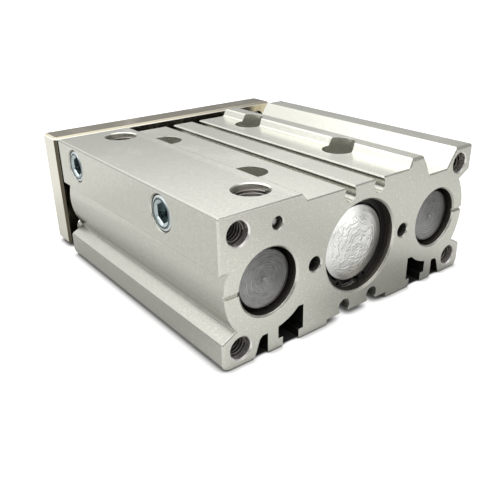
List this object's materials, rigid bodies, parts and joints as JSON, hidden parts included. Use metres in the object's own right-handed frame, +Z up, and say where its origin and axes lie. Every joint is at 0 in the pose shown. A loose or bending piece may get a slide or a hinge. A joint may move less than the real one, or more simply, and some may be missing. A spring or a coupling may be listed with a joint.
{
  "type": "guided pneumatic cylinder",
  "caption": "Compact air cylinder whose piston rod and flanking guide rods push a tooling plate in a straight line from an extruded aluminium body.",
  "frame": {"origin": "where the piston axis meets the rear face of the body, which is also the centre of its four tapped holes", "axes": "+Y along the piston axis towards the tooling plate, the way it extends; +Z up, towards the face with the air ports; +X across the guide rods, away from the port block"},
  "size_m": [0.093, 0.1035, 0.0405],
  "materials": {
    "body_aluminium": "clear anodised extrusion, satin",
    "cover_aluminium": "turned, clear chromate",
    "nickel_plated_steel": "nickel plated, satin, slightly warm",
    "guide_rod_steel": "hard chromed shaft with faced grey ends",
    "chromed_rod_steel": "hard chromed and polished",
    "zinc_plated_steel": "zinc plated, blue-white",
    "screw_steel": "nickel plated socket screws",
    "bearing_steel": "polished ball",
    "spring_steel": "black phosphated",
    "black_rubber": "nitrile rubber",
    "amber_urethane": "urethane, amber",
    "bonded_magnet": "plastic-bonded magnet, dark grey",
    "bush_bronze": "oil-filled sintered bronze",
    "wool_felt": "oiled wool felt",
    "black_resin": "moulded resin"
  },
  "bodies": {
    "housing": {"body": "body_aluminium", "head_cover": "cover_aluminium", "head_cover_gasket": "black_rubber", "head_cover_retaining_ring": "spring_steel", "rod_collar": "cover_aluminium", "rod_collar_gasket": "black_rubber", "rod_collar_retaining_ring": "spring_steel", "rod_seal": "black_rubber", "side_port_plug_rear": "zinc_plated_steel", "side_port_plug_front": "zinc_plated_steel", "passage_ball_plug": "bearing_steel", "guide_bush_rear_left": "bush_bronze", "guide_bush_front_left": "bush_bronze", "felt_wiper_left": "wool_felt", "felt_holder_left": "black_resin", "guide_bush_rear_right": "bush_bronze", "guide_bush_front_right": "bush_bronze", "felt_wiper_right": "wool_felt", "felt_holder_right": "black_resin"},
    "slide_unit": {"tooling_plate": "nickel_plated_steel", "piston_rod": "chromed_rod_steel", "piston_rod_screw": "screw_steel", "piston": "cover_aluminium", "piston_seal": "black_rubber", "piston_magnet": "bonded_magnet", "rear_bumper": "amber_urethane", "front_bumper": "amber_urethane", "guide_rod_left": "guide_rod_steel", "guide_rod_screw_left": "screw_steel", "guide_rod_right": "guide_rod_steel", "guide_rod_screw_right": "screw_steel"}
  },
  "joints": [
    {"name": "rod_slide", "type": "slide", "parent": "housing", "child": "slide_unit", "axis": [0, 1, 0], "range_m": [0, 0.05]}
  ]
}
